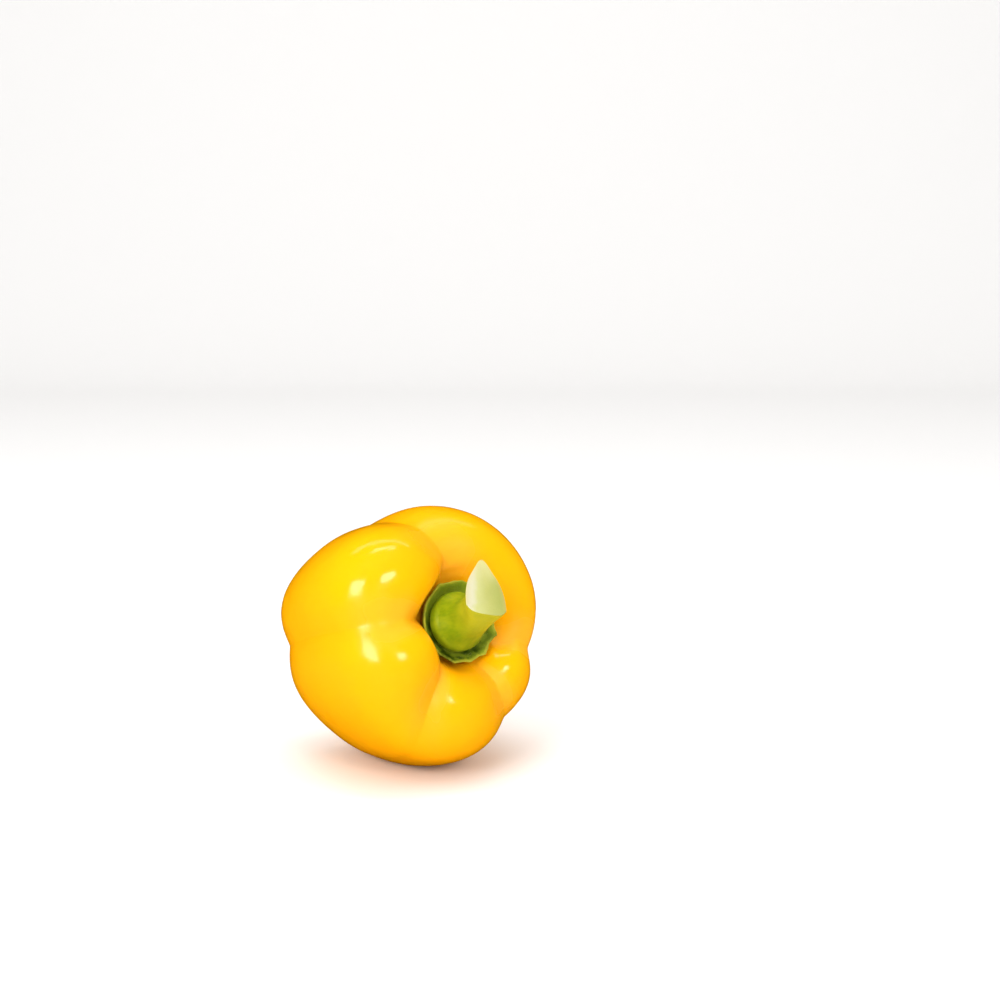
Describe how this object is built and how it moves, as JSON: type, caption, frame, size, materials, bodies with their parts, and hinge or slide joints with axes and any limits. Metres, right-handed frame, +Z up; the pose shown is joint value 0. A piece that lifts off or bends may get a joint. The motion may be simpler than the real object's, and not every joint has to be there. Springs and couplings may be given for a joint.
{
  "type": "bell pepper",
  "caption": "Blocky yellow bell pepper lying on its side, with its green calyx and cut stem.",
  "frame": {"origin": "middle of the outer box, on the plane of the flat spot that the pepper lies on", "axes": "+Z up, -Y towards the viewer of the picture; the stem end faces -Y, turned 34 degrees towards +X and raised 17 degrees"},
  "size_m": [0.0886, 0.091, 0.0885],
  "materials": {
    "fruit_skin": "glossy",
    "calyx_green": "satin",
    "stem_green": "satin"
  },
  "bodies": {
    "root": {"fruit": "fruit_skin", "calyx": "calyx_green", "stem": "stem_green"}
  },
  "joints": []
}
